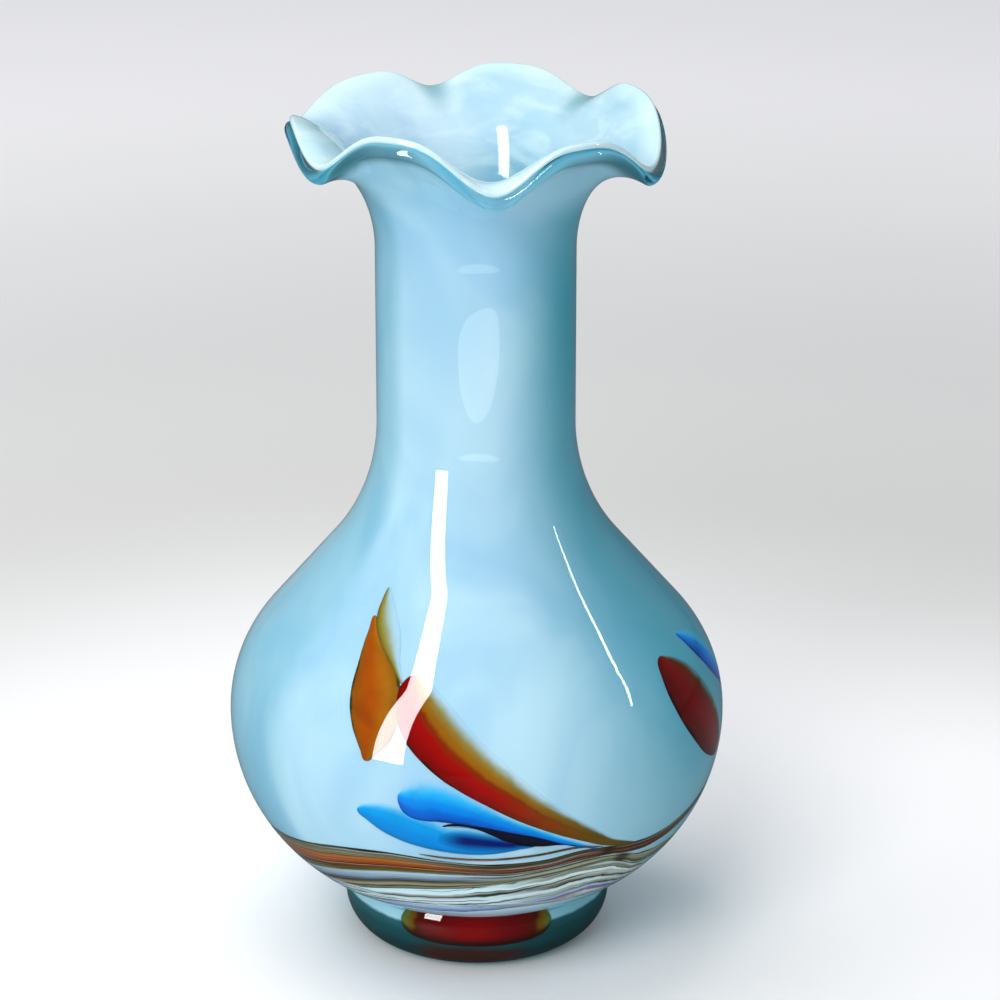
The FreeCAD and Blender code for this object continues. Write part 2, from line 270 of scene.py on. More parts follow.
def layer(name, outer, inner, swell=0.0):
    """One layer of the wall as a closed skin: up outside, round the lip's edge, down inside.
    The turn attribute is 0 to 1 outside and 2 to 1 inside, so a material can tell them."""
    stations = wall_stations()
    rings, turns = [], []
    for station in stations:
        points, turn = wall_ring(station, outer, swell)
        rings.append(points)
        turns.append(turn)
    r, z, nr, nz = lip_section(1.0)
    middle, half = (outer - swell + inner) / 2, (inner - outer + swell) / 2
    for angle in np.linspace(-80, 80, 11):
        a = math.radians(angle)
        depth = middle + half * math.sin(a)
        out = half * math.cos(a)
        rings.append(ring(r - depth * nr - out * nz, z - depth * nz + out * nr, 1.0))
        turns.append(1.0)
    for station in stations[::-1]:
        points, turn = wall_ring(station, inner)
        rings.append(points)
        turns.append(2.0 - turn)
    start = (0, 0, BASE_HEIGHT + outer)
    end = (0, 0, BASE_HEIGHT + inner)
    return lathe(name, rings, start, end, turns)


def smooth_through(stations, count):
    """Even cubic curve through rows of numbers, count samples."""
    rows = np.asarray(stations, float)
    padded = np.vstack([2 * rows[0] - rows[1], rows, 2 * rows[-1] - rows[-2]])
    out = []
    for t in np.linspace(0, len(rows) - 1, count):
        i = min(int(t), len(rows) - 2)
        f = t - i
        a, b, c, d = padded[i : i + 4]
        out.append(
            0.5 * (2 * b + (c - a) * f + (2 * a - 5 * b + 4 * c - d) * f ** 2
                   + (3 * b - a - 3 * c + d) * f ** 3)
        )
    return np.array(out)


def ribbon(stations, thickness, crisp, count=180, across=22, lift=0.0):
    """Points and faces of a lens of glass along stations of (azimuth, s, half width), lying on
    the lining. crisp 1 keeps the side on the left of its run at nearly full thickness. lift
    raises it off the lining."""
    rows = np.asarray(stations, float)
    squared = rows.copy()
    squared[:, 2] = squared[:, 2] ** 2
    line = smooth_through(squared, count)
    half = np.sqrt(np.maximum(line[:, 2], 0.0004))
    radii = np.array([meridian(s)[0] - CASING_WALL for s in line[:, 1]])
    flat = np.stack([np.radians(line[:, 0]) * radii.mean(), line[:, 1]], 1)
    run = np.gradient(flat, axis=0)
    run /= np.linalg.norm(run, axis=1)[:, None]
    left = np.stack([-run[:, 1], run[:, 0]], 1)
    widths = np.sin(np.linspace(-math.pi / 2, math.pi / 2, across))
    points, tags_across, tags_along = [], [], []
    for i in range(count):
        top, under = [], []
        grow = min(1.0, half[i] / half.max() * 1.6)
        for w in widths:
            shift = left[i] * half[i] * w
            azimuth = line[i, 0] + math.degrees(shift[0] / radii[i])
            s = line[i, 1] + shift[1]
            height = thickness * grow * (1 - abs(w) ** (2 + 6 * crisp * (w > 0))) ** 0.7
            top.append(surface_point(azimuth, s, CASING_WALL - RIBBON_PROUD - lift - height))
            under.append(surface_point(azimuth, s, CASING_WALL + RIBBON_SINK))
        points += top + under[::-1]
        tags_across += list(widths) + list(widths[::-1])
        tags_along += [i / (count - 1)] * (2 * across)
    return points, tube_faces(count, 2 * across), tags_across, tags_along


def ribbon_piece(name, ribbons):
    """One piece made of several ribbons; the strand attribute tells them apart."""
    points, faces, across, along, strand = [], [], [], [], []
    for number, made in enumerate(ribbons):
        base = len(points)
        points += made[0]
        faces += [tuple(base + v for v in face) for face in made[1]]
        across += made[2]
        along += made[3]
        strand += [number] * len(made[0])
    return new_mesh(
        name, points, faces, {"across": across, "along": along, "strand": strand}
    )


# ------------------------------------------------------------------ materials

class Tree:
    """A material and short ways to add nodes to it."""

    def __init__(self, name):
        self.material = bpy.data.materials.new(name)
        self.material.use_nodes = True
        self.nodes = self.material.node_tree.nodes
        self.links = self.material.node_tree.links
        self.nodes.clear()
        self.output = self.nodes.new("ShaderNodeOutputMaterial")

    def link(self, source, target):
        """Join an output to an input, or set the input where source is a plain value."""
        if hasattr(source, "is_linked"):
            self.links.new(source, target)
        else:
            target.default_value = source

    def attribute(self, name):
        node = self.nodes.new("ShaderNodeAttribute")
        node.attribute_name = name
        return node.outputs["Fac"]

    def math(self, operation, a, b=0.0, c=0.0):
        node = self.nodes.new("ShaderNodeMath")
        node.operation = operation
        for socket, value in zip(node.inputs, (a, b, c)):
            self.link(value, socket)
        return node.outputs[0]

    def place(self):
        return self.nodes.new("ShaderNodeTexCoord").outputs["Object"]

    def parts(self, vector):
        node = self.nodes.new("ShaderNodeSeparateXYZ")
        self.link(vector, node.inputs[0])
        return node.outputs

    def joined(self, x, y):
        node = self.nodes.new("ShaderNodeCombineXYZ")
        for socket, value in zip(node.inputs, (x, y)):
            self.link(value, socket)
        return node.outputs[0]

    def stretched(self, scale):
        node = self.nodes.new("ShaderNodeMapping")
        self.link(self.place(), node.inputs["Vector"])
        node.inputs["Scale"].default_value = scale
        return node.outputs[0]

    def noise(self, vector, scale, detail=3.0, distortion=0.0):
        node = self.nodes.new("ShaderNodeTexNoise")
        self.link(vector, node.inputs["Vector"])
        node.inputs["Scale"].default_value = scale
        node.inputs["Detail"].default_value = detail
        node.inputs["Distortion"].default_value = distortion
        return node.outputs["Fac"]

    def ramp(self, factor, stops):
        node = self.nodes.new("ShaderNodeValToRGB")
        node.color_ramp.interpolation = "EASE"
        elements = node.color_ramp.elements
        while len(elements) < len(stops):
            elements.new(0.5)
        for element, (at, colour) in zip(elements, stops):
            element.position = at
            element.color = (*colour, 1.0)
        self.link(factor, node.inputs["Fac"])
        return node.outputs["Color"]

    def span(self, value, low, high, to_low=0.0, to_high=1.0):
        node = self.nodes.new("ShaderNodeMapRange")
        node.interpolation_type = "SMOOTHSTEP"
        for key, number in zip(
            ("Value", "From Min", "From Max", "To Min", "To Max"),
            (value, low, high, to_low, to_high),
        ):
            self.link(number, node.inputs[key])
        return node.outputs["Result"]

    def mix(self, factor, a, b, blend="MIX"):
        node = self.nodes.new("ShaderNodeMix")
        node.data_type = "RGBA"
        node.blend_type = blend
        self.link(factor, node.inputs[0])
        for socket, value in zip((node.inputs[6], node.inputs[7]), (a, b)):
            self.link((*value, 1.0) if isinstance(value, tuple) else value, socket)
        return node.outputs[2]

    def surface(self, colour, roughness, specular, normal=None):
        node = self.nodes.new("ShaderNodeBsdfPrincipled")
        self.link(colour, node.inputs["Base Color"])
        self.link(roughness, node.inputs["Roughness"])
        node.inputs["Specular IOR Level"].default_value = specular
        if normal is not None:
            self.link(normal, node.inputs["Normal"])
        self.links.new(node.outputs[0], self.output.inputs["Surface"])

    def bump(self, height, strength, distance):
        node = self.nodes.new("ShaderNodeBump")
        node.inputs["Strength"].default_value = strength
        node.inputs["Distance"].default_value = distance
        self.link(height, node.inputs["Height"])
        return node.outputs[0]


PALE = (0.49, 0.65, 0.84)
MILKY = (0.70, 0.80, 0.92)
# Teal of the painted shade on the opal's right side and left edge.
SHADE_TEAL = (0.055, 0.35, 0.45)
# Colour and density, per metre, of what the clear glass soaks up.
CASING_TINT = (0.22, 0.84, 0.90)
CASING_DENSITY = 70
FOOT_TINT = (0.08, 0.62, 0.66)
FOOT_DENSITY = 150
GLASS_IOR = 1.5
# Times a height in metres, this is 0 at the base and 1 at 250 mm.
SHARE_OF_HEIGHT = 4.0


def opal_colour_and_painted_shade(tree):
    """Pale blue opal: milky clouds and fine drawn streaks, with teal painted shade on its right
    side, strongest on the neck, and a little along its left edge."""
    x, y, z = tree.parts(tree.place())
    clouds = tree.noise(tree.stretched((22, 22, 12)), 1.0, 3.0, 0.8)
    streaks = tree.noise(tree.stretched((120, 120, 7)), 1.0, 4.0, 0.2)
    body = tree.mix(tree.span(clouds, 0.35, 0.66), PALE, MILKY)
    body = tree.mix(tree.span(streaks, 0.45, 0.75, 0.0, 0.18), body, MILKY)
    squares = tree.math("ADD", tree.math("MULTIPLY", x, x), tree.math("MULTIPLY", y, y))
    radius = tree.math("MAXIMUM", tree.math("SQRT", squares), 0.001)
    side = tree.math("DIVIDE", tree.math("MULTIPLY_ADD", y, 0.3, x), radius)
    # Painted shade: the opal turns teal towards its right side, as much as the height ramp below
    # says, most on the neck.
    shaded_right = tree.span(side, -0.15, 0.85)
    height = tree.ramp(
        tree.math("MULTIPLY", z, SHARE_OF_HEIGHT),
        [
            (0.0, (0.30,) * 3),
            (0.20, (0.60,) * 3),
            (0.36, (0.82,) * 3),
            (0.60, (0.76,) * 3),
            (0.82, (0.93,) * 3),
            (0.93, (0.80,) * 3),
            (0.99, (0.25,) * 3),
        ],
    )
    # Painted shade, lighter, along the opal's left edge.
    left = tree.span(side, -0.93, -1.03, 0.0, 0.36)
    painted_shade = tree.math("MAXIMUM", tree.math("MULTIPLY", shaded_right, height), left)
    return tree.mix(painted_shade, body, SHADE_TEAL)


def lining_under_casing():
    """The lining seen through the casing: no shine of its own, glass lies against it. Just under
    the lip's edge it darkens to the deep teal of the casing's thick edge, partly painted shade.
    """
    tree = Tree("opal_under_casing")
    # Dark teal just under the lip's edge: the casing edge's own deeper teal, partly painted
    # shade.
    edge = tree.span(tree.attribute("turn"), 0.80, 0.97, 0.0, 0.9)
    colour = tree.mix(edge, opal_colour_and_painted_shade(tree), (0.012, 0.15, 0.18))
    tree.surface(colour, 0.5, 0.0)
    return tree.material


def lining_inside():
    """The lining's free inner skin: glossy and streaked round the mouth, with a painted
    highlight along its edge and painted shade in the creases below two dips at the back.
    """
    tree = Tree("opal_inside")
    turn = tree.attribute("turn")
    # Painted highlight: a whiter band along the lip's edge.
    rim = tree.span(turn, 1.16, 1.02)
    colour = tree.mix(1.0, opal_colour_and_painted_shade(tree), (0.82, 0.96, 0.94), "MULTIPLY")
    colour = tree.mix(tree.math("MULTIPLY", rim, 0.6), colour, (0.68, 0.90, 0.92))
    brushed = tree.noise(tree.stretched((60, 60, 160)), 1.0, 5.0, 1.2)
    colour = tree.mix(tree.span(brushed, 0.42, 0.7, 0.0, 0.3), colour, (0.78, 0.95, 0.99))
    x, y, _ = tree.parts(tree.place())
    azimuth = tree.math("DEGREES", tree.math("ARCTAN2", y, x))
    near_the_rim = tree.span(turn, 1.45, 1.05)
    # Painted shade in the creases below these two dips.
    for dip, _ in LOBES_WITH_SHADED_DIPS:
        off = tree.math("ABSOLUTE", tree.math("SUBTRACT", azimuth, dip[0]))
        crease = tree.math("MULTIPLY", tree.span(off, 9.0, 0.5, 0.0, 0.75), near_the_rim)
        colour = tree.mix(crease, colour, (0.14, 0.34, 0.40))
    ripple = tree.noise(tree.stretched((30, 30, 30)), 1.0, 1.0)
    tree.surface(colour, 0.06, 0.5, tree.bump(ripple, 0.15, 0.002))
    return tree.material


def clear_glass(name, tint, density):
    """Clear glass that lets lamps and bounced light straight through to what it covers."""
    tree = Tree(name)
    glass = tree.nodes.new("ShaderNodeBsdfPrincipled")
    glass.inputs["Base Color"].default_value = (0.98, 1.0, 1.0, 1.0)
    glass.inputs["Roughness"].default_value = 0.0
    glass.inputs["IOR"].default_value = GLASS_IOR
    glass.inputs["Transmission Weight"].default_value = 1.0
    wobble = tree.noise(tree.stretched((26, 26, 12)), 1.0, 1.5)
    tree.link(tree.bump(wobble, 0.12, 0.004), glass.inputs["Normal"])
    clear = tree.nodes.new("ShaderNodeBsdfTransparent")
    clear.inputs["Color"].default_value = (0.97, 0.99, 0.99, 1.0)
    path = tree.nodes.new("ShaderNodeLightPath")
    either = tree.math("MAXIMUM", path.outputs["Is Shadow Ray"], path.outputs["Is Diffuse Ray"])
    chosen = tree.nodes.new("ShaderNodeMixShader")
    tree.link(either, chosen.inputs[0])
    tree.links.new(glass.outputs[0], chosen.inputs[1])
    tree.links.new(clear.outputs[0], chosen.inputs[2])
    tree.links.new(chosen.outputs[0], tree.output.inputs["Surface"])
    soak = tree.nodes.new("ShaderNodeVolumeAbsorption")
    soak.inputs["Color"].default_value = (*tint, 1.0)
    soak.inputs["Density"].default_value = density
    tree.links.new(soak.outputs[0], tree.output.inputs["Volume"])
    return tree.material


def bit_glass(name, stops, soft=0.8, feather=1.0, mottling=0.25, tail=None, second=None):
    """Coloured glass. stops run from the crisp side (0) to the soft side (1), where the glass
    thins out into the opal from soft on. tail: place along and colour that the tail turns to.
    second: colour that the ribbon laid over the first turns to in its middle."""
    tree = Tree(name)
    across = tree.math("MULTIPLY_ADD", tree.attribute("across"), -0.5, 0.5)
    along = tree.attribute("along")
    drawn = tree.noise(tree.joined(tree.math("MULTIPLY", along, 5.0), across), 3.0, 4.0, 0.6)
    shifted = tree.math("MULTIPLY_ADD", tree.math("SUBTRACT", drawn, 0.5), 0.14, across)
    colour = tree.ramp(shifted, stops)
    if tail:
        start, tail_colour = tail
        colour = tree.mix(tree.span(along, start, start * 0.2), colour, tail_colour)
    if second:
        edge = tree.math("ABSOLUTE", tree.attribute("across"))
        end = tree.math("ABSOLUTE", tree.math("SUBTRACT", along, 0.5))
        inner = tree.math("MULTIPLY", tree.span(edge, 0.95, 0.1), tree.span(end, 0.5, 0.2))
        colour = tree.mix(tree.math("MULTIPLY", tree.attribute("strand"), inner), colour, second)
    blotch = tree.noise(tree.stretched((55, 55, 55)), 1.0, 4.0, 0.8)
    deeper = tree.mix(1.0, colour, (0.45, 0.40, 0.50), "MULTIPLY")
    colour = tree.mix(tree.span(blotch, 0.40, 0.72, 0.0, mottling), colour, deeper)
    fade = tree.span(shifted, soft, 1.0, 0.0, feather)
    colour = tree.mix(fade, colour, opal_colour_and_painted_shade(tree))
    tree.surface(colour, 0.4, 0.0)
    return tree.material


def drawn_bands(name, stops, later, switch, knot, threads):
    """Threads of several colours drawn out side by side. stops run from the top edge (0) to the
    bottom edge (1); past switch, a start and end along the band, later takes their place. The
    first ribbon is darker at knot, where it is pinched in, and a knot of -1 is none. threads
    sets how fine the lines across the width are."""
    tree = Tree(name)
    across = tree.math("MULTIPLY_ADD", tree.attribute("across"), -0.5, 0.5)
    along = tree.attribute("along")
    sway = tree.noise(tree.joined(tree.math("MULTIPLY", along, 9.0), across), 1.6, 2.0, 0.3)
    swayed = tree.math("MULTIPLY_ADD", tree.math("SUBTRACT", sway, 0.5), 0.20, across)
    colour = tree.mix(
        tree.span(along, *switch), tree.ramp(swayed, stops), tree.ramp(swayed, later)
    )
    lines = tree.joined(
        tree.math("MULTIPLY", along, 3.0), tree.math("MULTIPLY", swayed, threads)
    )
    fine = tree.noise(lines, 1.0, 3.0, 0.2)
    deeper = tree.mix(1.0, colour, (0.10, 0.07, 0.05), "MULTIPLY")
    colour = tree.mix(tree.span(fine, 0.53, 0.61, 0.0, 0.9), colour, deeper)
    paler = tree.mix(0.5, colour, (0.92, 0.94, 0.95))
    colour = tree.mix(tree.span(fine, 0.42, 0.34, 0.0, 0.7), colour, paler)
    near = tree.span(tree.math("ABSOLUTE", tree.math("SUBTRACT", along, knot)), 0.035, 0.006)
    pinch = tree.math("MULTIPLY", near, tree.math("SUBTRACT", 0.85, tree.attribute("strand")))
    colour = tree.mix(tree.math("MAXIMUM", pinch, 0.0), colour, (0.035, 0.014, 0.006))
    tree.surface(colour, 0.4, 0.0)
    return tree.material


# ------------------------------------------------------------------ the pieces

def finish_piece(piece, node, slot, *materials):
    """Give the piece its materials, hang it on the root body and hide the CAD node it stands
    for; slot is not used.
    """
    for material in materials:
        piece.data.materials.append(material)
    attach(piece, "root")
    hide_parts(node)


def make_lining():
    """The opal layer: its skin from the lip's edge inwards takes the second material."""
    piece = layer("opal_lining", CASING_WALL, CASING_WALL + LINING_WALL)
    finish_piece(
        piece, "inner_lining", "opal_lining", lining_under_casing(), lining_inside()
    )
    turn = np.zeros(len(piece.data.vertices), np.float32)
    piece.data.attributes["turn"].data.foreach_get("value", turn)
    for face in piece.data.polygons:
        inside = min(turn[v] for v in face.vertices) >= 0.999
        face.material_index = int(inside)


def make_casing():
    piece = layer("casing_glass", 0.0, CASING_WALL + CASING_OVERLAP, LIP_SWELL)
    glass = clear_glass("casing_clear", CASING_TINT, CASING_DENSITY)
    finish_piece(piece, "clear_casing", "clear_glass", glass)


def foot_crease():
    """Where the foot's rounded edge meets the casing, on the casing's curve."""
    gap = np.array([FOOT_RADIUS - FOOT_EDGE - LOWER_CENTRE, FOOT_EDGE - BELLY_HEIGHT])
    length = np.linalg.norm(gap)
    along = (length ** 2 + LOWER_ARC ** 2 - FOOT_EDGE ** 2) / (2 * length)
    off = math.sqrt(LOWER_ARC ** 2 - along ** 2)
    unit = gap / length
    return np.array([LOWER_CENTRE, BELLY_HEIGHT]) + along * unit + off * np.array(
        [-unit[1], unit[0]]
    )


def make_foot():
    """Thick clear disc: pontil hollow, resting ring, round edge, and up under the casing."""
    crease = foot_crease()
    edge_x = FOOT_RADIUS - FOOT_EDGE
    dome = (PONTIL_RADIUS ** 2 + PONTIL_DEPTH ** 2) / (2 * PONTIL_DEPTH)
    path = []
    for r in np.linspace(POLE_RING, PONTIL_RADIUS, 14):
        path.append((r, PONTIL_DEPTH - dome + math.sqrt(dome ** 2 - r ** 2)))
    for r in np.linspace(PONTIL_RADIUS, edge_x, 8)[1:]:
        path.append((r, 0.0))
    top = math.atan2(crease[1] - FOOT_EDGE, crease[0] - edge_x)
    for a in np.linspace(-math.pi / 2, top, 48)[1:]:
        path.append((edge_x + FOOT_EDGE * math.cos(a), FOOT_EDGE * (1 + math.sin(a))))
    reach = math.atan2(crease[1] - BELLY_HEIGHT, crease[0] - LOWER_CENTRE)
    for a in np.linspace(reach, -math.pi / 2, 30):
        r = LOWER_ARC - FOOT_OVERLAP
        path.append((LOWER_CENTRE + r * math.cos(a), BELLY_HEIGHT + r * math.sin(a)))
    for r in np.linspace(LOWER_CENTRE, POLE_RING, 8)[1:]:
        path.append((r, BASE_HEIGHT + FOOT_OVERLAP))
    rings = [ring(r, z) for r, z in path]
    start, end = (0, 0, PONTIL_DEPTH), (0, 0, BASE_HEIGHT + FOOT_OVERLAP)
    piece = lathe("foot_glass", rings, start, end, [0] * len(path))
    glass = clear_glass("foot_clear", FOOT_TINT, FOOT_DENSITY)
    finish_piece(piece, "foot", "foot_glass", glass)


def foot_edge_point(azimuth, angle, depth):
    """Point depth mm inside the foot's round edge. The azimuth and the angle are in radians:
    angle 0 is outermost and a quarter turn below it is underneath."""
    r = FOOT_RADIUS - FOOT_EDGE + (FOOT_EDGE - depth) * math.cos(angle)
    z = FOOT_EDGE + (FOOT_EDGE - depth) * math.sin(angle)
    return r * math.cos(azimuth), r * math.sin(azimuth), z


def foot_depth_shade_and_reflection():
    """What shows in the depth of the foot, painted by height: painted shade, nearly black at the
    base and sea green above it, then the pale opal. More painted shade on the right, and a
    painted reflection of the red patch in front."""
    tree = Tree("foot_depth")
    x, y, z = tree.parts(tree.place())
    cloud = tree.noise(tree.stretched((40, 40, 120)), 1.0, 3.0, 0.8)
    share = tree.math("DIVIDE", z, FOOT_EDGE * 1.35 * MM)
    height = tree.math("MULTIPLY_ADD", tree.math("SUBTRACT", cloud, 0.5), 0.16, share)
    # Painted shade: nearly black at the base, sea green above it, up to the opal.
    colour = tree.ramp(
        height,
        [
            (0.0, (0.002, 0.014, 0.016)),
            (0.30, (0.006, 0.040, 0.044)),
            (0.62, (0.016, 0.085, 0.095)),
            (0.80, (0.035, 0.14, 0.16)),
            (0.86, (0.74, 0.90, 1.0)),
        ],
    )
    # Painted shade, darker towards the right.
    shaded_right = tree.span(x, 0.008, 0.034, 0.0, 0.7)
    colour = tree.mix(shaded_right, colour, tree.mix(1.0, colour, (0.35, 0.62, 0.60), "MULTIPLY"))
    # Painted reflection of the red patch, low in front.
    aside = tree.math("ABSOLUTE", tree.math("ADD", x, 0.002))
    front = tree.math("MULTIPLY", tree.span(aside, 0.020, 0.010), tree.span(y, -0.01, -0.025))
    painted_red_reflection = tree.math("MULTIPLY", front, tree.span(height, 0.58, 0.42))
    colour = tree.mix(tree.math("MULTIPLY", painted_red_reflection, 0.9), colour, (0.09, 0.012, 0.004))
    tree.surface(colour, 0.4, 0.0)
    return tree.material


def make_foot_core():
    """Opaque core a little inside the clear foot, painted with the shade, the opal and the
    reflection of the red that show in its depth.
    """
    depth, base, lid = 1.6, 1.2, BASE_HEIGHT - 1
    path = [(r, base + PONTIL_DEPTH) for r in np.linspace(POLE_RING, PONTIL_RADIUS - 2, 6)]
    path += [(PONTIL_RADIUS + 2, base)]
    for angle in np.linspace(-75, 24, 30):
        x, _, z = foot_edge_point(0.0, math.radians(angle), depth)
        path.append((x, z))
    path += [(r, lid) for r in np.linspace(30, POLE_RING, 8)]
    rings = [ring(r, z) for r, z in path]
    start, end = (0, 0, base + PONTIL_DEPTH), (0, 0, lid)
    piece = lathe("foot_core", rings, start, end, [0] * len(path))
    finish_piece(piece, "foot", "foot_glass", foot_depth_shade_and_reflection())


def red_in_foot():
    """Deep red that wears to amber and olive towards both ends, and darker low down."""
    tree = Tree("red_in_foot")
    streaks = tree.noise(tree.stretched((60, 60, 160)), 1.0, 4.0, 1.0)
    from_middle = tree.math("ABSOLUTE", tree.math("SUBTRACT", tree.attribute("along"), 0.5))
    worn = tree.math("MULTIPLY_ADD", tree.math("SUBTRACT", streaks, 0.5), 0.12, from_middle)
    colour = tree.ramp(
        worn,
        [
            (0.0, (0.28, 0.0, 0.001)),
            (0.30, (0.16, 0.0, 0.0)),
            (0.38, (0.10, 0.006, 0.0)),
            (0.43, (0.22, 0.08, 0.002)),
            (0.47, (0.14, 0.15, 0.03)),
        ],
    )
    lower = tree.span(tree.attribute("across"), -0.3, -0.85)
    colour = tree.mix(lower, colour, (0.035, 0.004, 0.002))
    tree.surface(colour, 0.3, 0.0)
    return tree.material


def make_foot_patch():
    """Red glass folded into the foot: a bowed band with squarish ends."""
    count, around = 90, 26
    middle, half_sweep = math.radians(-90.5), math.radians(35)
    rise, half_height = math.radians(11), math.radians(24)
    sag_degrees, sag_rate = 3, 2.2
    depth, half_depth = 1.15, 0.55
    points, across, along = [], [], []
    for i in range(count):
        t = 2 * i / (count - 1) - 1
        end = max(1 - abs(t) ** 6, 0.002) ** 0.5
        sag = math.radians(sag_degrees * math.cos(sag_rate * t))
        for j in range(around):
            b = 2 * math.pi * j / around
            angle = rise - sag + half_height * end * math.sin(b)
            inwards = depth - half_depth * end * math.cos(b)
            points.append(foot_edge_point(middle + half_sweep * t, angle, inwards))
            across.append(math.sin(b))
            along.append((t + 1) / 2)
    tags = {"across": across, "along": along}
    piece = new_mesh("foot_red", points, tube_faces(count, around), tags)
    finish_piece(piece, "foot_red_patch", "red_glass", red_in_foot())


# The near-black first stop of RED_STOPS, AMBER_STOPS and OVAL_STOPS, and the last of
# AMBER_STOPS, draw a dark line along a bit's edge: painted shade.
RED_STOPS = [
    (0.0, (0.05, 0.004, 0.0)),
    (0.06, (0.24, 0.001, 0.0)),
    (0.36, (0.42, 0.001, 0.0)),
    (0.50, (0.30, 0.018, 0.0)),
    (0.62, (0.38, 0.12, 0.002)),
    (0.84, (0.34, 0.26, 0.06)),
]
AMBER_STOPS = [
    (0.03, (0.05, 0.04, 0.004)),
    (0.08, (0.40, 0.085, 0.001)),
    (0.40, (0.50, 0.075, 0.0)),
    (0.75, (0.50, 0.14, 0.004)),
    (0.93, (0.36, 0.12, 0.006)),
    (0.98, (0.08, 0.05, 0.006)),
]
OLIVE_STOPS = [
    (0.0, (0.20, 0.10, 0.008)),
    (0.4, (0.34, 0.27, 0.04)),
    (0.8, (0.34, 0.42, 0.18)),
]
COBALT_STOPS = [
    (0.0, (0.0, 0.05, 0.30)),
    (0.18, (0.0, 0.13, 0.64)),
    (0.45, (0.0, 0.26, 0.84)),
    (0.75, (0.02, 0.48, 0.90)),
]
SKY_STOPS = [
    (0.0, (0.0, 0.20, 0.52)),
    (0.3, (0.0, 0.26, 0.74)),
    (0.7, (0.0, 0.35, 0.82)),
    (0.9, (0.12, 0.52, 0.86)),
]
BLACK_STOPS = [(0.0, (0.001, 0.001, 0.012)), (1.0, (0.004, 0.004, 0.02))]
OVAL_STOPS = [
    (0.0, (0.02, 0.001, 0.0)),
    (0.08, (0.12, 0.001, 0.0)),
    (0.5, (0.24, 0.001, 0.0)),
    (0.78, (0.20, 0.012, 0.0)),
    (0.92, (0.12, 0.07, 0.01)),
]

